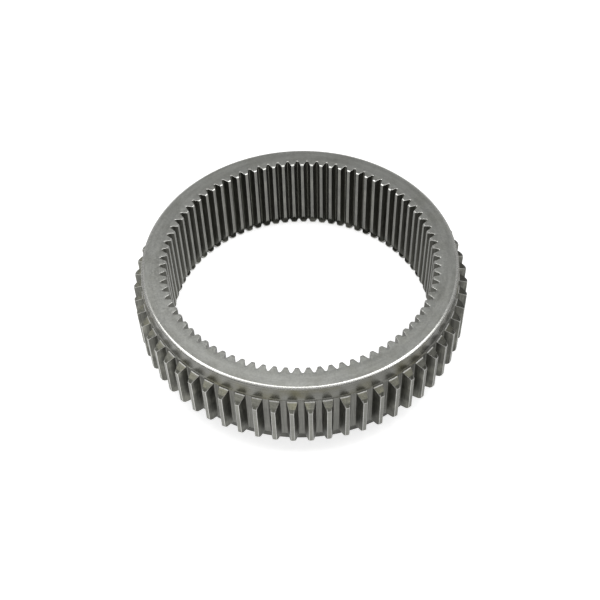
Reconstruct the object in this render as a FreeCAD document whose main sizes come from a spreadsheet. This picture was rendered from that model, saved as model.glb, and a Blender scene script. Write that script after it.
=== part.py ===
import FreeCAD, Part
import Sketcher
import os
import re
from FreeCAD import Vector

# Ring gear of a planetary transmission: one piece of steel, in millimetres.
# It stands on its lower face. The origin is the centre of that face and +Z is the gear's axis.
# A gap of the inner teeth and a gap of the outer teeth lie in line on the +X axis.

FULL_TURN = 360  # degrees

# Driving sizes, each with what it is.
sizes = {
    "ring_height": (69.0, "lower face to upper face"),
    "inner_teeth": (82, "number of inner teeth, which run with the planet gears"),
    "inner_pitch_radius": (102.5, "pitch circle of the inner teeth, module 2.5"),
    "inner_pressure_angle": (25.0, "pressure angle of the inner teeth, in degrees"),
    "inner_gap_width": (2.95, "width of an inner gap along the pitch circle, less than the tooth"),
    "inner_addendum": (3.1, "inner tooth height above its pitch circle"),
    "inner_dedendum": (1.8, "inner gap depth below the pitch circle"),
    "inner_root_bevel": (1.5, "height of the bevels beside the flat bottom of an inner gap"),
    "inner_root_flat": (0.7, "width of that flat bottom"),
    "mouth_width": (1.7, "width of the chamfer of the inner tips at the upper face"),
    "mouth_drop": (0.65, "drop of that chamfer"),
    "lead_in_depth": (2.6, "how far the lower ends of the inner tips are turned back"),
    "lead_in_wall": (4.6, "height of the straight wall of that lead-in"),
    "lead_in_height": (9.4, "lower face up to the top of its cone"),
    "outer_teeth": (61, "number of outer teeth, which carry the clutch hub"),
    "outer_pressure_angle": (20.0, "pressure angle of the outer teeth, in degrees"),
    "outer_gap_width": (6.6, "width of an outer gap along the pitch circle of module 4"),
    "outer_addendum": (4.0, "outer tooth height above its pitch circle"),
    "outer_dedendum": (3.2, "outer gap depth below the pitch circle"),
    "outer_root_bevel": (0.6, "bevel between an outer flank and the floor of its gap"),
    "rim_wall": (10.3, "wall between the inner gaps and the plain lower rim"),
    "rim_height": (14.4, "lower face up to the lower ends of the outer teeth"),
    "rim_chamfer": (2.0, "45 degree chamfer of the rim at the lower face"),
    "neck_wall": (13.9, "wall between the inner gaps and the ground neck above the outer teeth"),
    "neck_height": (13.4, "upper face down to the corner where the tooth ends begin"),
    "neck_bevel_width": (2.0, "width of the bevel between the upper face and the neck"),
    "neck_bevel_drop": (1.0, "drop of that bevel"),
    "floor_step": (0.6, "how far the floor of the outer gaps stands out from the neck"),
    "tooth_end_slope": (28.0, "slope of the upper tooth ends, in degrees from level"),
    "tooth_top_chamfer": (2.2, "45 degree chamfer of the outer tips at their upper ends"),
    "tooth_foot_chamfer": (1.5, "45 degree chamfer of the outer tips at their lower ends"),
    "cutter_overrun": (1.0, "how far each cutter runs clear of the blank"),
}

# The involute of an angle in degrees, tan(a) - a, is taken in degrees as well.
involute = "(tan({0}) * 180 / pi - {0})"

# A flank's pressure angle grows outwards from its base circle.
# An inner gap narrows outwards by the involute of that angle and an outer gap widens by it.
flank_angle = "(acos({side}_base_radius / {radius}) / 1deg)"
half_pitch_gap = "{side}_gap_width / 2 / {side}_pitch_radius * 180 / pi"
half_gap = half_pitch_gap + " {sign} (" + involute.format("{side}_pressure_angle") + " - {here})"


def half_gap_at(side, radius):
    """Formula for half the angle that a gap spans at a radius, in degrees."""
    here = involute.format(flank_angle.format(side=side, radius=radius))
    return half_gap.format(side=side, sign="+" if side == "inner" else "-", here=here)


# Sizes worked out from the driving ones, as formulas of the sheet.
worked_out = {
    "inner_base_radius": "inner_pitch_radius * cos(inner_pressure_angle)",
    "inner_tip_radius": "inner_pitch_radius - inner_addendum",
    "inner_root_radius": "inner_pitch_radius + inner_dedendum",
    "rim_radius": "inner_root_radius + rim_wall",
    "neck_radius": "inner_root_radius + neck_wall",
    "outer_root_radius": "neck_radius + floor_step",
    "outer_pitch_radius": "outer_root_radius + outer_dedendum",
    "outer_tip_radius": "outer_pitch_radius + outer_addendum",
    "outer_base_radius": "outer_pitch_radius * cos(outer_pressure_angle)",
    "neck_foot": "ring_height - neck_height",
    "tooth_top_radius": "outer_tip_radius - tooth_top_chamfer",
    "tooth_top": "neck_foot - (tooth_top_radius - neck_radius) * tan(tooth_end_slope)",
    "inner_flank_start": "inner_tip_radius - cutter_overrun",
    "inner_flank_end": "inner_root_radius - inner_root_bevel",
    "inner_flank_middle": "(inner_flank_start + inner_flank_end) / 2",
    "inner_start_half": half_gap_at("inner", "inner_flank_start"),
    "inner_middle_half": half_gap_at("inner", "inner_flank_middle"),
    "inner_end_half": half_gap_at("inner", "inner_flank_end"),
    "inner_floor_half": "inner_root_flat / 2 / inner_root_radius * 180 / pi",
    "outer_flank_start": "outer_root_radius + outer_root_bevel",
    "outer_flank_end": "outer_tip_radius + cutter_overrun",
    "outer_flank_middle": "(outer_flank_start + outer_flank_end) / 2",
    "outer_start_half": half_gap_at("outer", "outer_flank_start"),
    "outer_middle_half": half_gap_at("outer", "outer_flank_middle"),
    "outer_end_half": half_gap_at("outer", "outer_flank_end"),
    "outer_floor_half": "outer_start_half - outer_root_bevel / outer_root_radius * 180 / pi",
}


def write_sheet(document):
    """One sheet with an alias for each driving size and for each one worked out."""
    sheet = document.addObject("Spreadsheet::Sheet", "Sizes")
    rows = [(alias, str(value), meaning) for alias, (value, meaning) in sizes.items()]
    rows += [(alias, "=" + formula, "worked out") for alias, formula in worked_out.items()]
    for row, (alias, content, meaning) in enumerate(rows, start=1):
        sheet.set(f"A{row}", meaning)
        sheet.set(f"B{row}", content)
        sheet.setAlias(f"B{row}", alias)
    document.recompute()
    return sheet


def from_sheet(formula):
    """The formula with each alias, a word with an underscore, read from the sheet."""
    return re.sub(r"[a-z]+(?:_[a-z]+)+", lambda word: "Sizes." + word.group(), formula)


def polar(radius, half_angle, side=1):
    """Formulas for the point at a radius, turned by a half angle to one side of the +X axis."""
    return f"{radius} * cos({half_angle})", f"{side} * {radius} * sin({half_angle})"


def origin_feature(body, role):
    """The body's own origin plane or axis with this role."""
    return next(item for item in body.Origin.OriginFeatures if item.Role == role)


def new_sketch(body, name, plane):
    """An empty sketch on one of the body's origin planes."""
    sketch = body.newObject("Sketcher::SketchObject", name)
    sketch.AttachmentSupport = (origin_feature(body, plane), "")
    sketch.MapMode = "FlatFace"
    return sketch


def place_of(sketch, point):
    """Where a point given as two formulas lies now."""
    values = [sketch.evalExpression(from_sheet(formula)) for formula in point]
    return Vector(*[float(getattr(value, "Value", value)) for value in values], 0)


def hold(sketch, element, end, point):
    """Holds one end of an element at two formulas of the sheet."""
    for kind, value, formula in zip(("DistanceX", "DistanceY"), place_of(sketch, point), point):
        index = sketch.addConstraint(Sketcher.Constraint(kind, -1, 1, element, end, value))
        sketch.setExpression(f"Constraints[{index}]", from_sheet(formula))


def draw_side(sketch, first, last, middle):
    """A line between two corners, or an arc through a middle point. Returns it and its two ends."""
    start, stop = place_of(sketch, first), place_of(sketch, last)
    if middle is None:
        return sketch.addGeometry(Part.LineSegment(start, stop)), 1, 2
    through = place_of(sketch, middle)
    counterclockwise = (through - start).cross(stop - through).z > 0
    ends = (start, stop) if counterclockwise else (stop, start)
    arc = sketch.addGeometry(Part.Arc(ends[0], through, ends[1]))
    marker = sketch.addGeometry(Part.Point(through), True)
    hold(sketch, marker, 1, middle)
    sketch.addConstraint(Sketcher.Constraint("PointOnObject", marker, 1, arc))
    return (arc, 1, 2) if counterclockwise else (arc, 2, 1)


def draw_outline(sketch, corners, middles):
    """Closed outline through the corners; the side after a corner named in middles is an arc."""
    sides = []
    for number, corner in enumerate(corners):
        following = corners[(number + 1) % len(corners)]
        sides.append(draw_side(sketch, corner, following, middles.get(number)))
    for number, (element, first, last) in enumerate(sides):
        hold(sketch, element, first, corners[number])
        following, joined, _ = sides[(number + 1) % len(sides)]
        sketch.addConstraint(Sketcher.Constraint("Coincident", element, last, following, joined))


def turn_blank(body):
    """The turned blank: half its section, with all its steps and chamfers, revolved about Z."""
    section = new_sketch(body, "BlankSection", "XZ_Plane")
    corners = [
        ("inner_tip_radius + lead_in_depth", "0"),
        ("rim_radius - rim_chamfer", "0"),
        ("rim_radius", "rim_chamfer"),
        ("rim_radius", "rim_height"),
        ("outer_tip_radius - tooth_foot_chamfer", "rim_height"),
        ("outer_tip_radius", "rim_height + tooth_foot_chamfer"),
        ("outer_tip_radius", "tooth_top - tooth_top_chamfer"),
        ("tooth_top_radius", "tooth_top"),
        ("neck_radius", "neck_foot"),
        ("neck_radius", "ring_height - neck_bevel_drop"),
        ("neck_radius - neck_bevel_width", "ring_height"),
        ("inner_tip_radius + mouth_width", "ring_height"),
        ("inner_tip_radius", "ring_height - mouth_drop"),
        ("inner_tip_radius", "lead_in_height"),
        ("inner_tip_radius + lead_in_depth", "lead_in_wall"),
    ]
    draw_outline(section, corners, {})
    blank = body.newObject("PartDesign::Revolution", "Blank")
    blank.Profile = section
    blank.ReferenceAxis = (section, ["V_Axis"])
    blank.Angle = FULL_TURN
    return blank


def cut_gap(body, name, corners, middles):
    """One gap between two teeth, cut the whole height of the ring."""
    outline = new_sketch(body, name + "Outline", "XY_Plane")
    draw_outline(outline, corners, middles)
    gap = body.newObject("PartDesign::Pocket", name)
    gap.Profile = outline
    gap.Type = "Length"
    gap.Reversed = True
    gap.setExpression("Length", from_sheet("ring_height + cutter_overrun"))
    return gap


def repeat_round(body, gap, name, teeth):
    """The gap repeated round the axis, once for each tooth."""
    pattern = body.newObject("PartDesign::PolarPattern", name)
    pattern.Originals = [gap]
    pattern.Axis = (origin_feature(body, "Z_Axis"), [""])
    pattern.Angle = FULL_TURN
    pattern.setExpression("Occurrences", from_sheet(teeth))
    body.Tip = pattern
    return pattern


def inner_gap(body):
    """Gap between two inner teeth: involute flank, bevel, flat bottom, bevel, involute flank."""
    corners = [
        polar("inner_flank_start", "inner_start_half"),
        polar("inner_flank_end", "inner_end_half"),
        polar("inner_root_radius", "inner_floor_half"),
        polar("inner_root_radius", "inner_floor_half", -1),
        polar("inner_flank_end", "inner_end_half", -1),
        polar("inner_flank_start", "inner_start_half", -1),
    ]
    middles = {
        0: polar("inner_flank_middle", "inner_middle_half"),
        4: polar("inner_flank_middle", "inner_middle_half", -1),
    }
    return cut_gap(body, "InnerGap", corners, middles)


def outer_gap(body):
    """Gap between two outer teeth: involute flank, bevel, round floor, bevel, involute flank."""
    corners = [
        polar("outer_flank_end", "outer_end_half"),
        polar("outer_flank_start", "outer_start_half"),
        polar("outer_root_radius", "outer_floor_half"),
        polar("outer_root_radius", "outer_floor_half", -1),
        polar("outer_flank_start", "outer_start_half", -1),
        polar("outer_flank_end", "outer_end_half", -1),
    ]
    middles = {
        0: polar("outer_flank_middle", "outer_middle_half"),
        2: ("outer_root_radius", "0"),
        4: polar("outer_flank_middle", "outer_middle_half", -1),
    }
    return cut_gap(body, "OuterGap", corners, middles)


def checked(document, body):
    """The solid's volume, once every feature is up to date and the solid is valid."""
    document.recompute()
    for item in document.Objects:
        if {"Invalid", "Error"} & set(item.State):
            raise RuntimeError(f"{item.Name} failed: {item.State}")
    if body.Shape.isNull() or not body.Shape.isValid():
        raise RuntimeError(f"{body.Label} is not a valid solid")
    return body.Shape.Volume


document = FreeCAD.newDocument("RingGear")
write_sheet(document)
ring = document.addObject("PartDesign::Body", "RingGearBody")
ring.Label = "ring_gear"
ring.Placement = FreeCAD.Placement()

turn_blank(ring)
volumes = [checked(document, ring)]
repeat_round(ring, inner_gap(ring), "InnerGaps", "inner_teeth")
volumes.append(checked(document, ring))
repeat_round(ring, outer_gap(ring), "OuterGaps", "outer_teeth")
volumes.append(checked(document, ring))
if not volumes[0] > volumes[1] > volumes[2]:
    raise RuntimeError(f"a set of gaps was not cut: {volumes}")

os.makedirs("parts", exist_ok=True)
ring.Shape.exportStep(f"parts/{ring.Label}.step")
print("volumes in mm3:", [round(volume) for volume in volumes], "solids:", len(ring.Shape.Solids))
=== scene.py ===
# Ring gear of a planetary transmission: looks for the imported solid, in metres.
# It stands on its lower face and +Z is its axis. Angles start at +X, where an inner
# and an outer tooth gap lie in line.

import math

import bmesh
import bpy
import numpy as np
from mathutils import Matrix, Vector


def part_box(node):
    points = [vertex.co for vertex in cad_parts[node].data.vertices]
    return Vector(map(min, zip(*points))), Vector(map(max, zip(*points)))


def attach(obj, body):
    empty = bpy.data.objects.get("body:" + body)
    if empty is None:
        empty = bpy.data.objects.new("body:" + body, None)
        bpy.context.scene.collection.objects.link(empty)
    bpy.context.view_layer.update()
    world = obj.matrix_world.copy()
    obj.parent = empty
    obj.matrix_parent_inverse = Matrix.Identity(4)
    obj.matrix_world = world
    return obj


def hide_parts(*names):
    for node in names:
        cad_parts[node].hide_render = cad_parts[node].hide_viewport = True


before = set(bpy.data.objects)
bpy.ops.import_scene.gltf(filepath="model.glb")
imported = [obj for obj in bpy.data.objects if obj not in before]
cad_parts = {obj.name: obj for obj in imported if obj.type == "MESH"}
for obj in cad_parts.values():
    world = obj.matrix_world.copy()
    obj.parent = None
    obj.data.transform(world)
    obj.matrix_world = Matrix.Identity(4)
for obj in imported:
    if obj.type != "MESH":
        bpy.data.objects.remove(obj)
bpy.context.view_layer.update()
mm = 0.001
print("frame loaded:", sorted(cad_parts))


# ring: the turned form, sizes in mm
ring = {
    "height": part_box("ring_gear")[1].z / mm,
    "rimRadius": 114.6,        # plain rim below the outer teeth
    "rimTop": 14.4,            # height at which the outer teeth start
    "rimChamfer": 2.0,
    "neckRadius": 118.2,       # ground neck above the outer teeth
    "neckFoot": 55.6,          # height at which the slope of the tooth ends would meet the neck
    "neckBevelWidth": 2.0,
    "neckBevelDrop": 1.0,
    "neckFillet": 2.0,         # radius of the hollow between the neck and the tooth ends
    "lineWidth": 0.8,          # painted highlight line where the tooth ends leave that hollow
    "hollowPoints": 7,         # along that hollow
    "edgeReach": 0.30,         # how far a broken edge reaches along its faces
    "chamferReach": 0.7,       # share of it, across and up, on the rim's 45 degree chamfer
    "bevelReach": 0.55,        # as edgeReach, at the soft edge between upper face and neck
    "bevelHighlight": 0.25,         # painted highlight on the lower edge of the neck's bevel, how bright
    "lipHighlight": 0.2,            # and on its upper edge
    "floorHighlight": 0.3,          # and on the upper ends of the outer gap floors
    "tipZone": 1.0,            # how near the tips the brightened tip edges, wear and painted highlight, show
    "faceSeam": (106.5, 108.0),  # where the bore's grid and the outer grid meet on the flat faces
    "mergeReach": 0.002,       # points nearer to each other than this become one
    "sharpAngle": 50.0,        # edges between faces that turn by more than this stay sharp, degrees
}

# outer teeth: clutch hub side
outerTeeth = {
    "count": 61,
    "pitchRadius": 122.0,
    "gapWidth": 6.6,           # along the pitch circle
    "pressureAngle": 20.0,
    "tipRadius": 125.98,
    "rootRadius": 118.8,
    "filletHeight": 0.6,
    "filletFullness": 1.0,     # 0 is a straight bevel, 1 a round fillet
    "endSlope": 28.0,          # slope of the upper tooth ends from level, degrees
    "topChamferRadius": 123.8,   # outside it the upper tooth ends have a 45 degree chamfer
    "footChamferRadius": 124.5,  # and outside this one the lower ends
}

# inner teeth: planet side
innerTeeth = {
    "count": 82,
    "pitchRadius": 102.5,
    "gapWidth": 2.95,
    "pressureAngle": 25.0,
    "tipRadius": 99.4,
    "rootRadius": 104.3,
    "filletHeight": 1.5,
    "filletFullness": 0.45,
    "rootFlat": 0.7,
    "mouthWidth": 1.7,         # chamfer of the tips at the upper face
    "mouthDrop": 0.65,
    "mouthBulge": 0.32,        # share of the drop that is left half way along, 0.5 is straight
    "mouthEdge": 0.6,          # broken edge of the flanks there
    "leadInDepth": 2.6,        # the tips are turned back this far at the lower face
    "leadInWall": 4.6,         # up to this height, and from there a cone
    "leadInHeight": 9.4,       # reaches the tips here
    "tipBreak": 0.3,           # broken lower edge in the middle of a tooth
    "rootBreak": 1.9,          # and at most, at the gap floors
    "tipWearAndHighlight": 0.3,            # how bright the edges along the tips are: worn steel and painted highlight
    "endRadius": 3.1,          # how round the lower tooth ends are
    "endHighlight": 0.8,            # painted highlight on their lower edge, how bright
    "endLine": 0.8,            # and how high that line reaches
}


# How far an involute has turned at a pressure angle: the angle's tangent minus the angle.
def involute(angle):
    return np.tan(angle) - angle


# Half the angle of a tooth gap at each radius: half the gap on the pitch circle, plus or
# minus how far the involute has turned since there.
def halfGap(teeth, radius, inside):
    pressure = math.radians(teeth["pressureAngle"])
    here = np.arccos(teeth["pitchRadius"] * math.cos(pressure) / radius)
    turned = involute(here) - involute(pressure)
    return teeth["gapWidth"] / 2 / teeth["pitchRadius"] + (-turned if inside else turned)


# Three points that round a corner: the one before it, the middle of the arc, the one after. The
# middle is the weighted mean of all three, the outer two with 1 - sqrt(1/2) each.
def roundCorner(before, corner, after):
    before, corner, after = (np.asarray(point, float) for point in (before, corner, after))
    side = 1 - math.sqrt(0.5)
    return [before, side * before + (1 - 2 * side) * corner + side * after, after]


# Outline of a set of teeth, as angle and radius: from the middle of a gap over its floor,
# the root fillet, the involute flank and the rounded tip edge to the middle of a tooth,
# then mirrored and repeated round the ring. The third column marks the brightened tip edge: worn steel
# and painted highlight.
def toothOutline(teeth, inside, reach, flankPoints=6):
    outward = -1 if inside else 1  # from root to tip
    root, tip = teeth["rootRadius"], teeth["tipRadius"]
    flankStart = root + outward * teeth["filletHeight"]
    flankEnd = tip - outward * reach
    startAngle = halfGap(teeth, flankStart, inside)
    tipAngle = halfGap(teeth, tip, inside)
    if inside:
        floorAngle = teeth["rootFlat"] / 2 / root
    else:
        floorAngle = startAngle - teeth["filletHeight"] / root
    radii = np.linspace(flankStart, flankEnd, flankPoints)
    floorEnd, flankFoot = np.array([floorAngle, root]), np.array([startAngle, flankStart])
    corner = np.array([startAngle, root])
    corner += (1 - teeth["filletFullness"]) * ((floorEnd + flankFoot) / 2 - corner)
    points = [(0.0, root)] + roundCorner(floorEnd, corner, flankFoot)
    points += list(zip(halfGap(teeth, radii, inside)[1:-1], radii[1:-1]))
    points += roundCorner((halfGap(teeth, flankEnd, inside), flankEnd), (tipAngle, tip),
                          (tipAngle + reach / tip, tip))
    points += [(math.pi / teeth["count"], tip)]
    half = np.array(points)
    glint = np.zeros(len(half))
    glint[-3] = 1  # the middle of the rounded tip edge
    half = np.column_stack([half, glint])
    period = np.concatenate([half[:0:-1] * (-1, 1, 1), half[:-1]])
    turns = np.arange(teeth["count"]) * 2 * math.pi / teeth["count"]
    angle = (turns[:, None] + period[None, :, 0]).ravel()
    radius, glint = np.tile(period[:, 1:], (teeth["count"], 1)).T
    return angle, radius, glint


# One row of a skin: radius, height and edge brightening (wear and painted highlight) at each column, a
# single number meaning all of them.
def row(columns, radius, height, glint=0.0):
    return [np.broadcast_to(value, columns).astype(float) for value in (radius, height, glint)]


# The rows that carry a tooth wall over a broken edge onto a sloping end, and along it over its
# creases. endHeight gives the end's height at a radius, creases the radii of its corners. wallSide
# is +1 where the wall runs up to the edge and -1 where it runs down to it. inwards is the sign of
# the way in which the end leaves the wall, -1 towards the axis.
def endRows(limit, endHeight, creases, wallSide, inwards, reach):
    step = inwards * reach
    edge = endHeight(limit)
    wall = np.array([limit, edge - wallSide * reach])
    corner = np.array([limit, edge])
    onEnd = np.array([limit + step, endHeight(limit + step)])
    rows = roundCorner(wall, corner, onEnd)
    # the middle of the broken edge is brightened: painted highlight along the edge
    rows[1] = (*rows[1], 1.0)
    nearest = np.minimum if inwards < 0 else np.maximum
    for crease in creases:
        for side in (-1, 1):
            radius = nearest(limit + step, crease + inwards * side * reach / 2)
            rows.append(np.array([radius, endHeight(radius)]))
    return rows


# The hollow between neck and tooth ends, an arc that leaves the neck upright and meets the slope.
def neckHollow(part, teeth):
    slope, bend = math.radians(teeth["endSlope"]), part["neckFillet"]
    reach = bend / math.tan(math.pi / 4 + slope / 2)
    turned = np.linspace(0, math.pi / 2 - slope, part["hollowPoints"])
    radius = part["neckRadius"] + bend * (1 - np.cos(turned))
    return radius, part["neckFoot"] + reach - bend * np.sin(turned)


# Outer skin from the lower face over rim, teeth and neck to the upper face: the turned profile,
# with each row's radius held within the outline of the teeth where it crosses them.
def outerRows(limit, part, teeth):
    reach = part["edgeReach"]
    rim, neck, tip = part["rimRadius"], part["neckRadius"], teeth["tipRadius"]
    slope = math.tan(math.radians(teeth["endSlope"]))
    creaseTop, creaseFoot = teeth["topChamferRadius"], teeth["footChamferRadius"]
    top = part["neckFoot"] - (creaseTop - neck) * slope
    hollowRadius, hollowHeight = neckHollow(part, teeth)

    def topHeight(radius):
        heights = [*hollowHeight, top, top - (tip - creaseTop)]
        return np.interp(radius, [*hollowRadius, creaseTop, tip], heights)

    def footHeight(radius):
        heights = [part["rimTop"], part["rimTop"], part["rimTop"] + tip - creaseFoot]
        return np.interp(radius, [rim, creaseFoot, tip], heights)

    chamfer, height = part["rimChamfer"], part["height"]
    bevel, drop, soft = part["neckBevelWidth"], part["neckBevelDrop"], part["bevelReach"]
    onChamfer = reach * part["chamferReach"]
    below = [
        (part["faceSeam"][1], 0), (rim - chamfer - reach, 0),
        (rim - chamfer + onChamfer, onChamfer), (rim - onChamfer, chamfer - onChamfer),
        (rim, chamfer + reach), (rim, part["rimTop"]),
    ]
    edge, lip = np.array([neck, height - drop]), np.array([neck - bevel, height])
    along = (lip - edge) / math.hypot(bevel, drop)
    above = roundCorner(edge - (0, soft), edge, edge + along * soft)
    above += roundCorner(lip - along * soft, lip, lip - (soft, 0))
    # the bevel's lower and upper edges get painted highlight
    above[1] = (*above[1], part["bevelHighlight"])
    above[4] = (*above[4], part["lipHighlight"])
    above += [(part["faceSeam"][1], height)]
    count = len(limit)
    foot = endRows(limit, footHeight, [creaseFoot], -1, -1, reach)[::-1]
    head = endRows(limit, topHeight, [creaseTop], 1, -1, reach)
    # painted highlight on the top edge of the teeth, none on the gap floors
    head[1] = (*head[1][:2], (limit > hollowRadius[-1]) * 1.0)
    # from the outer side of the painted highlight line, over the line itself, into the hollow
    lineRadii = [hollowRadius[-1] + part["lineWidth"], *hollowRadius[:0:-1]]
    lineHighlight = [0.0, 1.0] + [0.0] * (len(lineRadii) - 2)
    onFloor = part["floorHighlight"] * (limit < teeth["rootRadius"] + reach)
    for radius, glint in zip(lineRadii, lineHighlight):
        glint = np.where(limit - reach > radius, glint, onFloor)
        radius = np.minimum(limit - reach, radius)
        head.append((radius, topHeight(radius), glint))
    head.append((hollowRadius[0], hollowHeight[0]))
    rows = [row(count, *point) for point in below + foot + head + above]
    return np.stack(rows, axis=1)


# Bore skin from the lower face up over the inner teeth to the upper face: lead-in, teeth and
# mouth, with each row's radius held outside the outline of the teeth.
def boreRows(angle, limit, part, teeth):
    reach, height, tip = part["edgeReach"], part["height"], teeth["tipRadius"]
    mouth, drop, lead = teeth["mouthWidth"], teeth["mouthDrop"], teeth["leadInDepth"]
    far = part["faceSeam"][0]

    def mouthHeight(radius):
        radii = [tip, tip + mouth / 2, tip + mouth, far]
        heights = [height - drop, height - drop * teeth["mouthBulge"], height, height]
        return np.interp(radius, radii, heights)

    def leadHeight(radius):
        return np.interp(radius, [tip, tip + lead], [teeth["leadInHeight"], teeth["leadInWall"]])

    # below the cone the wall stands at the lead-in's depth, or at the outline where that is deeper
    wall = np.maximum(limit, tip + lead)
    # its lower edge is broken along an arc, R - sqrt(R^2 - s^2) at s beside the middle of a tooth
    pitch = 2 * math.pi / teeth["count"]
    beside = np.abs(angle % pitch - pitch / 2) * (tip + lead)
    arc = teeth["endRadius"] - np.sqrt(np.maximum(teeth["endRadius"] ** 2 - beside ** 2, 0))
    broken = np.minimum(teeth["tipBreak"] + arc, teeth["rootBreak"])
    onCone = np.maximum(limit, np.minimum(limit + reach, tip + lead))
    nearWall = np.maximum(limit, tip + lead - reach)
    count = len(limit)
    # painted highlight ring along the lower ends of the teeth, from the broken edge up to line
    line, highlightShare = broken + teeth["endLine"], teeth["endHighlight"]
    foot = [
        (far, 0), (wall + broken, 0), (wall, broken, highlightShare), (wall, line, highlightShare), (wall, line + reach),
        (wall, teeth["leadInWall"] - reach), (nearWall, leadHeight(nearWall)),
        (onCone, leadHeight(onCone)), (limit, leadHeight(limit) + reach),
    ]
    head = endRows(limit, mouthHeight, [tip + mouth / 2, tip + mouth], 1, 1, teeth["mouthEdge"])
    # painted highlight on the mouth's edge at the teeth, none in the gaps
    head[1] = (*head[1][:2], 1.0 * (limit < teeth["rootRadius"] - teeth["filletHeight"]))
    rows = [row(count, *point) for point in foot + head + [(far, height)]]
    return np.stack(rows, axis=1)


# Grid of points from radius and height rows: x = r cos(angle), y = r sin(angle).
def gridPoints(angle, radius, height):
    return np.stack([radius * np.cos(angle), radius * np.sin(angle), height], axis=-1) * mm


# Faces of a grid that closes round the ring, four corners each: a point, the one beside it, and
# the two above these.
def gridFaces(rowCount, columnCount, first, flipped):
    rows = np.arange(rowCount - 1)[:, None]
    columns = np.arange(columnCount)[None, :]
    following = (columns + 1) % columnCount
    corners = [rows * columnCount + columns, rows * columnCount + following,
               (rows + 1) * columnCount + following, (rows + 1) * columnCount + columns]
    if flipped:
        corners = corners[::-1]
    return np.stack(corners, axis=-1).reshape(-1, 4) + first


# Triangles between two circles with different numbers of points: each point makes one with
# the point before it and the last point passed on the other circle.
def zipCircles(innerAngle, innerFirst, outerAngle, outerFirst, flipped):
    inner, outer = len(innerAngle), len(outerAngle)
    i, j = np.arange(inner), np.arange(outer)
    passedOuter = (np.searchsorted(outerAngle, innerAngle, "left") - 1) % outer
    passedInner = (np.searchsorted(innerAngle, outerAngle, "right") - 1) % inner
    onInner = [innerFirst + i, innerFirst + (i - 1) % inner, outerFirst + passedOuter]
    onOuter = [outerFirst + (j - 1) % outer, outerFirst + j, innerFirst + passedInner]
    triangles = np.concatenate([np.stack(onInner, axis=-1), np.stack(onOuter, axis=-1)])
    return triangles[:, ::-1] if flipped else triangles


outerAngle, outerLimit, outerTipHighlight = toothOutline(outerTeeth, False, ring["edgeReach"])
boreAngle, boreLimit, boreTipHighlight = toothOutline(innerTeeth, True, ring["edgeReach"])
outerRadius, outerHeight, outerRowHighlight = outerRows(outerLimit, ring, outerTeeth)
boreRadius, boreHeight, boreRowHighlight = boreRows(boreAngle, boreLimit, ring, innerTeeth)
print("grid:", outerRadius.shape, boreRadius.shape)

points = np.concatenate([
    gridPoints(outerAngle, outerRadius, outerHeight).reshape(-1, 3),
    gridPoints(boreAngle, boreRadius, boreHeight).reshape(-1, 3),
])
onOuterTips = outerRadius > outerTeeth["tipRadius"] - ring["tipZone"]
onBoreTips = boreRadius < innerTeeth["tipRadius"] + ring["tipZone"]
# edge brightening at each point: partly worn, burnished steel, partly painted highlight lines along the
# edges
wearAndHighlight = np.concatenate([
    np.maximum(outerRowHighlight, outerTipHighlight * onOuterTips).ravel(),
    np.maximum(boreRowHighlight, innerTeeth["tipWearAndHighlight"] * boreTipHighlight * onBoreTips).ravel(),
])
outerCount = outerRadius.size
outerRowCount, outerColumns = outerRadius.shape
boreRowCount, boreColumns = boreRadius.shape
# the two skins, and the flat faces between them
quads = np.concatenate([
    gridFaces(outerRowCount, outerColumns, 0, False),
    gridFaces(boreRowCount, boreColumns, outerCount, True),
])
triangles = np.concatenate([
    zipCircles(boreAngle, outerCount + (boreRowCount - 1) * boreColumns,
               outerAngle, (outerRowCount - 1) * outerColumns, False),
    zipCircles(boreAngle, outerCount, outerAngle, 0, True),
])
mesh = bpy.data.meshes.new("ring_gear_body")
mesh.from_pydata(points, [], quads.tolist() + triangles.tolist())
highlightValues = mesh.attributes.new("wearAndHighlight", "FLOAT", "POINT").data
highlightValues.foreach_set("value", wearAndHighlight.astype(np.float32))
gear = bpy.data.objects.new("ring_gear_body", mesh)
bpy.context.scene.collection.objects.link(gear)

work = bmesh.new()
work.from_mesh(mesh)
bmesh.ops.remove_doubles(work, verts=work.verts, dist=ring["mergeReach"] * mm)
openEdges = [edge for edge in work.edges if len(edge.link_faces) != 2]
print("open edges:", len(openEdges), "volume cm3:", work.calc_volume() / (10 * mm) ** 3)
work.to_mesh(mesh)
work.free()
mesh.calc_loop_triangles()
print("triangles:", len(mesh.loop_triangles))
mesh.shade_smooth()
mesh.set_sharp_from_angle(angle=math.radians(ring["sharpAngle"]))
weighted = gear.modifiers.new("faceWeights", "WEIGHTED_NORMAL")
weighted.mode = "FACE_AREA"
weighted.weight = 100
weighted.keep_sharp = True


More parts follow.
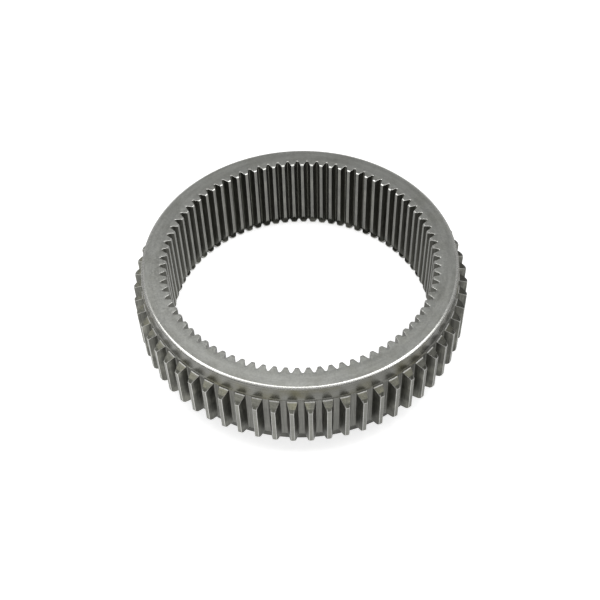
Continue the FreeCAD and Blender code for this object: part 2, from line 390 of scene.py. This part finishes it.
# finishes: one for each kind of surface, satin with changes. Colours are linear, sizes and radii
# in metres, depths in mm. "lines" are the cutter or grinding marks: round the axis, or along it.
satin = {
    "color": (0.42, 0.425, 0.40),
    # colour of the bright edges: worn, burnished steel and painted highlight
    "edgeHighlightColor": (0.80, 0.80, 0.77),
    "stainAndReflectionColor": (0.30, 0.30, 0.26),
    "stainAndReflectionSize": 0.012,
    "stainAndReflectionRange": (0.45, 0.68),  # noise at which a blotch starts, and where it is full
    "stainAndReflectionAmount": 0.35,
    "mottleSize": 0.0011,
    "mottleAmount": 0.07,
    "roughness": 0.36,
    "roughnessSpread": 0.08,
    "bandSize": 0.004,         # broad tone bands that lie round the axis
    "bandAmount": 0.05,
    "bandSlant": (0.12, 0.08),  # how fast the bands change along x and y, against 1 across them
    "noiseRange": (0.3, 0.7),  # lowest and highest of mottle, bands and lines
    "lines": "round",
    "lineSize": 0.0005,
    "lineAmount": 0.05,
    "lineDepth": 0.004,
    "roundSlant": (0.02, 0.013),  # how fast lines round the axis change along x and y
    "alongSlant": 0.03,        # and lines along the axis along z
    "grainSize": 0.0004,
    "grainDepth": 0.003,
    "highlightRange": (0.25, 0.6),  # mottle noise at which a bright edge, worn steel and painted highlight, is dimmest, and brightest
    "highlightLeast": 0.55,         # how bright the dimmest is
    "highlightPolish": 0.08,        # how much smoother than its face a bright edge is
    "edgeTint": 1.0,           # share of the reflection at a glancing view
    "deepColor": (0.42, 0.425, 0.40),
    "deepFrom": 0.05,          # radius at which the colour starts to turn into deepColor
    "deepTo": 0.04,            # and where it has, here deeper than any face lies
    # painted shade: the finish darkens towards +x
    "sideShadeColor": (0.045, 0.045, 0.042),
    "sideShadeFrom": -0.03,         # x at which the painted shade, darker towards +x, starts, and where it is full
    "sideShadeTo": 0.11,
    "sideShadeAmount": 0.0,
}
finishes = {
    "groundFace": {**satin, "bandAmount": 0.12, "mottleAmount": 0.09},
    # groundNeck: the olive, dark blotches are painted reflections on the glossy neck
    "groundNeck": {**satin, "color": (0.165, 0.165, 0.150), "stainAndReflectionColor": (0.115, 0.108, 0.065),
                   "stainAndReflectionSize": 0.02, "stainAndReflectionAmount": 0.8, "roughness": 0.29, "roughnessSpread": 0.03,
                   "lineDepth": 0.001, "grainDepth": 0.0006, "lineSize": 0.0006, "lineAmount": 0.16},
    "groundBevel": {**satin, "color": (0.66, 0.66, 0.63), "roughness": 0.27, "roughnessSpread": 0.02,
                    "stainAndReflectionAmount": 0.1, "mottleAmount": 0.03, "lineDepth": 0.001, "grainDepth": 0.0006},
    # toothEnds: the darker tone outside 123.6 mm paints shade on the outer chamfer, and the side shade
    # darkens them towards +x
    "toothEnds": {**satin, "color": (0.22, 0.22, 0.19), "stainAndReflectionColor": (0.36, 0.35, 0.25),
                  "stainAndReflectionAmount": 0.6, "roughness": 0.5, "deepColor": (0.18, 0.18, 0.155),
                  "deepFrom": 0.1236, "deepTo": 0.1240, "mottleAmount": 0.25, "lineAmount": 0.1,
                  "grainDepth": 0.012, "sideShadeAmount": 0.8},
    "outerLands": {**satin, "color": (0.215, 0.215, 0.197), "roughness": 0.42, "lineAmount": 0.1},
    "outerFlanks": {**satin, "color": (0.11, 0.11, 0.097), "roughness": 0.40, "lines": "along",
                    "lineAmount": 0.28, "stainAndReflectionAmount": 0.5, "deepColor": (0.17, 0.17, 0.155),
                    "deepFrom": 0.1200, "deepTo": 0.1192},
    # turnedRim: its dark colour paints in the shade on the recessed rim below the teeth
    "turnedRim": {**satin, "color": (0.11, 0.11, 0.10), "roughness": 0.45, "lineAmount": 0.12},
    "boreLands": {**satin, "color": (0.165, 0.165, 0.153), "lines": "along", "lineAmount": 0.10},
    # leadIns: the near-black colour is painted shade at the lower tooth ends
    "leadIns": {**satin, "color": (0.03, 0.03, 0.026), "roughness": 0.45,
                "edgeHighlightColor": (0.75, 0.75, 0.71), "edgeTint": 0.4},
    # boreFlanks: the darker tone towards the gap floors is painted shade in the recesses
    "boreFlanks": {**satin, "color": (0.125, 0.125, 0.112), "roughness": 0.42, "lines": "along",
                   "lineAmount": 0.3, "stainAndReflectionColor": (0.07, 0.07, 0.058), "deepColor": (0.11, 0.11, 0.096),
                   "deepFrom": 0.0996, "deepTo": 0.1030},
}


# Adds a shader node and gives one of its outputs, by number or name. A source is a number, a
# colour or another node's output.
def addNode(tree, kind, sources, result=0, **settings):
    node = tree.nodes.new("ShaderNode" + kind)
    for name, value in settings.items():
        setattr(node, name, value)
    for socket, source in sources.items():
        if isinstance(source, bpy.types.NodeSocket):
            tree.links.new(source, node.inputs[socket])
        else:
            node.inputs[socket].default_value = source
    return node.outputs[result]


# Two values added, multiplied or compared.
def addMath(tree, operation, first, second=0.0):
    return addNode(tree, "Math", {0: first, 1: second}, operation=operation)


# Carries a value from one range to another, held at both ends.
def addRange(tree, value, low, high, toLow, toHigh):
    ends = {"From Min": low, "From Max": high, "To Min": toLow, "To Max": toHigh}
    return addNode(tree, "MapRange", {"Value": value, **ends})


# Noise whose largest lumps are one size across.
def addNoise(tree, place, size, detail=2.0):
    return addNode(tree, "TexNoise", {"Vector": place, "Scale": 1 / size, "Detail": detail})


# Carries a noise onto plus or minus an amount round a middle value.
def addSpread(tree, noise, look, amount, middle=0.0):
    return addRange(tree, noise, *look["noiseRange"], middle - amount, middle + amount)


# A slow change over the plane: x and y, each times its own factor, added.
def addSlant(tree, x, y, factors):
    alongX = addMath(tree, "MULTIPLY", x, factors[0])
    return addMath(tree, "ADD", alongX, addMath(tree, "MULTIPLY", y, factors[1]))


# Carries one colour towards another by a factor from 0 to 1, or multiplies the two. A Mix node
# names its sockets alike for numbers and colours, so the ones for colours go by number.
def blendColors(tree, factor, first, second, mode="MIX"):
    sources = {0: factor, 6: first, 7: second}
    return addNode(tree, "Mix", sources, result=2, data_type="RGBA", blend_type=mode)


# The place on the piece in Object coordinates, whole and as its x, y and z.
def addPlace(tree):
    place = addNode(tree, "TexCoord", {}, result="Object")
    parts = tree.nodes.new("ShaderNodeSeparateXYZ")
    tree.links.new(place, parts.inputs["Vector"])
    return place, *parts.outputs


# Steel as it leaves the machine: base colour with stains, on the neck painted reflections, mottle
# and cutter lines, another tone past a radius that on some finishes is painted shade, painted shade
# that darkens it towards +x, and brighter and smoother edges, partly worn steel, partly painted
# highlight.
def steelFinish(name, look):
    material = bpy.data.materials.new(name)
    material.use_nodes = True
    tree = material.node_tree
    shader = tree.nodes["Principled BSDF"]
    place, x, y, z = addPlace(tree)
    flat = addNode(tree, "CombineXYZ", {"X": x, "Y": y})
    radius = addNode(tree, "VectorMath", {"Vector": flat}, result="Value", operation="LENGTH")
    if look["lines"] == "round":
        # radius and height vary fast, the way round the axis slowly
        around = addSlant(tree, x, y, look["roundSlant"])
        lineVector = addNode(tree, "CombineXYZ", {"X": radius, "Y": z, "Z": around})
    else:
        upwards = addMath(tree, "MULTIPLY", z, look["alongSlant"])
        lineVector = addNode(tree, "CombineXYZ", {"X": x, "Y": y, "Z": upwards})
    line = addNoise(tree, lineVector, look["lineSize"])
    across = addSlant(tree, x, y, look["bandSlant"])
    bandVector = addNode(tree, "CombineXYZ", {"X": radius, "Y": z, "Z": across})
    band = addNoise(tree, bandVector, look["bandSize"])
    mottle = addNoise(tree, place, look["mottleSize"], detail=3.0)
    stainAndReflection = addNoise(tree, place, look["stainAndReflectionSize"], detail=4.0)
    stainAndReflection = addRange(tree, stainAndReflection, *look["stainAndReflectionRange"], 0.0, look["stainAndReflectionAmount"])
    grain = addNoise(tree, place, look["grainSize"])

    color = blendColors(tree, stainAndReflection, (*look["color"], 1), (*look["stainAndReflectionColor"], 1))
    deep = addRange(tree, radius, look["deepFrom"], look["deepTo"], 0.0, 1.0)
    color = blendColors(tree, deep, color, (*look["deepColor"], 1))
    # painted shade, darker towards +x
    sideShade = addRange(tree, x, look["sideShadeFrom"], look["sideShadeTo"], 0.0, look["sideShadeAmount"])
    color = blendColors(tree, sideShade, color, (*look["sideShadeColor"], 1))
    light = addMath(tree, "ADD", addSpread(tree, mottle, look, look["mottleAmount"], middle=1.0),
                    addSpread(tree, line, look, look["lineAmount"]))
    light = addMath(tree, "ADD", light, addSpread(tree, band, look, look["bandAmount"]))
    color = blendColors(tree, 1.0, color, light, "MULTIPLY")
    # edges brightened: partly wear, partly painted highlight lines
    highlightShare = addNode(tree, "Attribute", {}, result="Fac", attribute_name="wearAndHighlight")
    dimmed = addRange(tree, mottle, *look["highlightRange"], look["highlightLeast"], 1.0)
    highlightShare = addMath(tree, "MULTIPLY", highlightShare, dimmed)
    color = blendColors(tree, highlightShare, color, (*look["edgeHighlightColor"], 1))
    tree.links.new(color, shader.inputs["Base Color"])

    rough = addSpread(tree, mottle, look, look["roughnessSpread"], middle=look["roughness"])
    rough = addMath(tree, "SUBTRACT", rough, addMath(tree, "MULTIPLY", highlightShare, look["highlightPolish"]))
    tree.links.new(rough, shader.inputs["Roughness"])
    tint = look["edgeTint"]
    shader.inputs["Metallic"].default_value = 1.0
    shader.inputs["Specular Tint"].default_value = (tint, tint, tint, 1)

    relief = addMath(tree, "ADD", addMath(tree, "MULTIPLY", line, look["lineDepth"]),
                     addMath(tree, "MULTIPLY", grain, look["grainDepth"]))
    bump = addNode(tree, "Bump", {"Strength": 1.0, "Distance": mm, "Height": relief})
    tree.links.new(bump, shader.inputs["Normal"])
    return material


for name, look in finishes.items():
    mesh.materials.append(steelFinish(name, look))
print("finishes:", list(finishes))

# zones: where one finish ends and the next begins, in mm. A look is the least part of a face's
# normal that points the way named, from 0 to 1.
zones = {
    "flatLook": 0.95,          # up or down, of the flat faces
    "flatDepth": 0.1,          # how near the lower and upper end of the gear they lie
    "bevelDepth": 1.2,         # how near the upper end the ground bevels lie
    "bevelFrom": 112.0,        # the neck's bevel lies outside this radius
    "bevelLook": 0.8,          # up, of the neck's bevel
    "mouthLook": 0.6,          # up, of the mouth's chamfer
    "landLook": 0.75,          # towards the axis or away from it, of the tips' lands
    "boreLandDepth": 0.5,      # how far past the lead-in's depth the inner lands reach
    "outerLandDepth": 1.6,     # how far below the tip radius the outer lands reach
    "rimOver": 0.2,            # how far above the plain rim its finish ends
    "neckUnder": 0.7,          # how far below the neck's foot its finish starts
    "neckOver": 1.2,           # and how far out from the neck it reaches
    "endLook": 0.4,            # up, of the upper tooth ends
}


# Which finish each face has, from where it lies and which way it looks: the first that fits.
def faceFinishes(mesh, part, outer, inner, limits):
    count = len(mesh.polygons)
    center, normal = np.empty(count * 3), np.empty(count * 3)
    mesh.polygons.foreach_get("center", center)
    mesh.polygons.foreach_get("normal", normal)
    center, normal = center.reshape(-1, 3) / mm, normal.reshape(-1, 3)
    radius, z = np.hypot(center[:, 0], center[:, 1]), center[:, 2]
    outwards = (center[:, 0] * normal[:, 0] + center[:, 1] * normal[:, 1]) / radius
    upwards, height, flat = normal[:, 2], part["height"], limits["flatDepth"]
    inBore = radius < part["faceSeam"][0]
    bevelLook = np.where(inBore, limits["mouthLook"], limits["bevelLook"])
    landRadius = inner["tipRadius"] + inner["leadInDepth"] + limits["boreLandDepth"]
    neckReach = part["neckRadius"] + limits["neckOver"]
    fits = {
        "groundFace": (np.abs(upwards) > limits["flatLook"]) & ((z < flat) | (z > height - flat)),
        "groundBevel": (z > height - limits["bevelDepth"]) & (upwards > bevelLook)
                       & (inBore | (radius > limits["bevelFrom"])),
        "leadIns": inBore & (z < inner["leadInHeight"]),
        "boreLands": inBore & (-outwards > limits["landLook"]) & (radius < landRadius),
        "boreFlanks": inBore,
        "turnedRim": z < part["rimTop"] + limits["rimOver"],
        "groundNeck": (z > part["neckFoot"] - limits["neckUnder"]) & (radius < neckReach),
        "toothEnds": upwards > limits["endLook"],
        "outerLands": (radius > outer["tipRadius"] - limits["outerLandDepth"])
                      & (outwards > limits["landLook"]),
    }
    order = list(finishes)
    numbers = [order.index(name) for name in fits]
    chosen = np.select(list(fits.values()), numbers, order.index("outerFlanks"))
    mesh.polygons.foreach_set("material_index", chosen.astype(np.int32))
    print("faces per finish:", dict(zip(order, np.bincount(chosen, minlength=len(order)).tolist())))


faceFinishes(mesh, ring, outerTeeth, innerTeeth, zones)

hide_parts("ring_gear")
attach(gear, "root")


# camera: where the photograph was taken from
cameraSetup = {
    "azimuth": -15.04,         # degrees round +Z, 0 looks along +Y
    "elevation": 50.817,
    "roll": -1.901,
    "distance": 769.5,         # mm from the aim point
    "aimRight": 0.202,         # aim point from the middle of the upper face, mm in the picture plane
    "aimDown": 31.352,
    "lens": 61.96,
    "sensor": 36.0,
    "clip": (0.01, 20.0),      # nearest and farthest that it shows, in metres
}


# Turns the camera by roll, elevation and azimuth, then moves it back from its aim point.
def placeCamera(setup):
    turn = (Matrix.Rotation(math.radians(setup["azimuth"]), 4, "Z")
            @ Matrix.Rotation(math.radians(90 - setup["elevation"]), 4, "X")
            @ Matrix.Rotation(math.radians(setup["roll"]), 4, "Z"))
    offset = Vector((setup["aimRight"], -setup["aimDown"], setup["distance"]))
    place = Vector((0, 0, ring["height"])) + turn.to_3x3() @ offset
    data = bpy.data.cameras.new("photoCamera")
    data.lens, data.sensor_width = setup["lens"], setup["sensor"]
    data.clip_start, data.clip_end = setup["clip"]
    camera = bpy.data.objects.new("photoCamera", data)
    camera.matrix_world = Matrix.Translation(place * mm) @ turn
    bpy.context.scene.collection.objects.link(camera)
    bpy.context.scene.camera = camera


placeCamera(cameraSetup)
print("camera set")


# studio: floor and soft lights, sizes in metres
studio = {
    "floorSize": 30.0,
    "floorColor": (0.80, 0.80, 0.80),  # what the floor throws back on the gear
    "floorRoughness": 0.9,
    "paperGlow": 0.66,                 # lifts the floor to white where the camera or a gloss sees it
    "glossFade": (-0.10, 0.13, 0.45),  # from left to right the gloss keeps this share of that lift
    "worldLight": 0.40,
    "lamps": {                         # places as right, away and up seen from the camera, power in watts
        "leftSoftbox": {"place": (-0.58, 0.15, 1.4), "size": (1.1, 0.85), "power": 8},
        "rightSoftbox": {"place": (0.55, 0.03, 1.4), "size": (1.1, 0.68), "power": 7},
        "frontSoftbox": {"place": (0.0, -1.5, 1.2), "size": (1.4, 0.5), "power": 3},
    },
}


# Lays the paper that the gear stands on, turned with the camera, and lets it glow where the
# camera or a gloss sees it, in a gloss less from left to right.
def layFloor(setup, azimuth):
    half = setup["floorSize"] / 2
    corners = [(-half, -half, 0), (half, -half, 0), (half, half, 0), (-half, half, 0)]
    floorMesh = bpy.data.meshes.new("floor")
    floorMesh.from_pydata(corners, [], [(0, 1, 2, 3)])
    floor = bpy.data.objects.new("floor", floorMesh)
    floor.rotation_euler.z = math.radians(azimuth)
    bpy.context.scene.collection.objects.link(floor)
    paper = bpy.data.materials.new("floorPaper")
    paper.use_nodes = True
    tree = paper.node_tree
    shader = tree.nodes["Principled BSDF"]
    shader.inputs["Base Color"].default_value = (*setup["floorColor"], 1)
    shader.inputs["Roughness"].default_value = setup["floorRoughness"]
    rays = tree.nodes.new("ShaderNodeLightPath").outputs
    across = addPlace(tree)[1]  # x, from left to right
    left, right, kept = setup["glossFade"]
    fade = addRange(tree, across, left, right, 1.0, kept)
    gloss = addMath(tree, "MULTIPLY", rays["Is Glossy Ray"], fade)
    seen = addMath(tree, "MAXIMUM", rays["Is Camera Ray"], gloss)
    shader.inputs["Emission Color"].default_value = (1, 1, 1, 1)
    glow = addMath(tree, "MULTIPLY", seen, setup["paperGlow"])
    tree.links.new(glow, shader.inputs["Emission Strength"])
    floorMesh.materials.append(paper)


# Hangs each softbox at its place, turned with the camera, facing the middle of the lower face.
def hangLamps(setup, azimuth):
    turn = Matrix.Rotation(math.radians(azimuth), 4, "Z")
    for name, lamp in setup["lamps"].items():
        data = bpy.data.lights.new(name, "AREA")
        data.shape = "RECTANGLE"
        data.size, data.size_y = lamp["size"]
        data.energy = lamp["power"]
        light = bpy.data.objects.new(name, data)
        place = Vector(lamp["place"])
        # its long side lies level
        out = place.normalized()
        side = Vector((0, 1, 0)).cross(out).normalized()
        aimed = Matrix((side, out.cross(side), out)).transposed().to_4x4()
        light.matrix_world = turn @ Matrix.Translation(place) @ aimed
        bpy.context.scene.collection.objects.link(light)


# Surrounds everything with a soft light that the camera sees as white.
def lightWorld(setup):
    world = bpy.data.worlds.new("studioWorld")
    world.use_nodes = True
    tree = world.node_tree
    background = tree.nodes["Background"]
    background.inputs["Color"].default_value = (1, 1, 1, 1)
    seen = tree.nodes.new("ShaderNodeLightPath").outputs["Is Camera Ray"]
    strength = addRange(tree, seen, 0.0, 1.0, setup["worldLight"], 1.0)
    tree.links.new(strength, background.inputs["Strength"])
    bpy.context.scene.world = world


layFloor(studio, cameraSetup["azimuth"])
hangLamps(studio, cameraSetup["azimuth"])
lightWorld(studio)
bpy.context.scene.view_settings.view_transform = "Standard"
print("studio lit:", list(studio["lamps"]))
